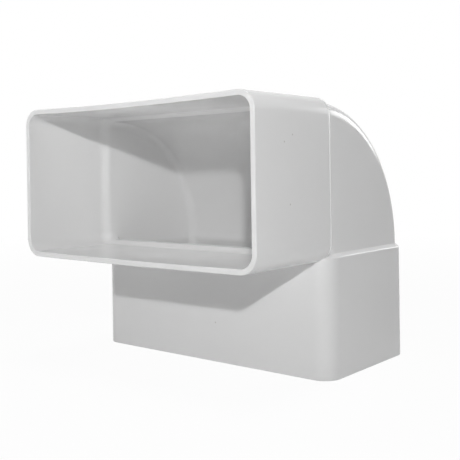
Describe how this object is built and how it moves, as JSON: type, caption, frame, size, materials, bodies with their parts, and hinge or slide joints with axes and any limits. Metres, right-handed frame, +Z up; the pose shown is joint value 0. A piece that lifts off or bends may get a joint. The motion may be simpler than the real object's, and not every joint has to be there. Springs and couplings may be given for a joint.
{
  "type": "downspout elbow",
  "caption": "White moulded PVC elbow with two rectangular sockets at a right angle and a quarter-round bend between them, for turning a flat rainwater pipe.",
  "frame": {"origin": "centre of the lower socket's mouth, in the plane of its rim, on which the elbow stands", "axes": "+Z up, the lower socket opens towards -Z, the upper socket opens towards -Y, X runs along the wide side of both sockets"},
  "size_m": [0.1142, 0.0998, 0.0998],
  "materials": {
    "white_pvc": "smooth moulded white PVC with a soft sheen"
  },
  "bodies": {
    "root": {"elbow": "white_pvc"}
  },
  "joints": []
}
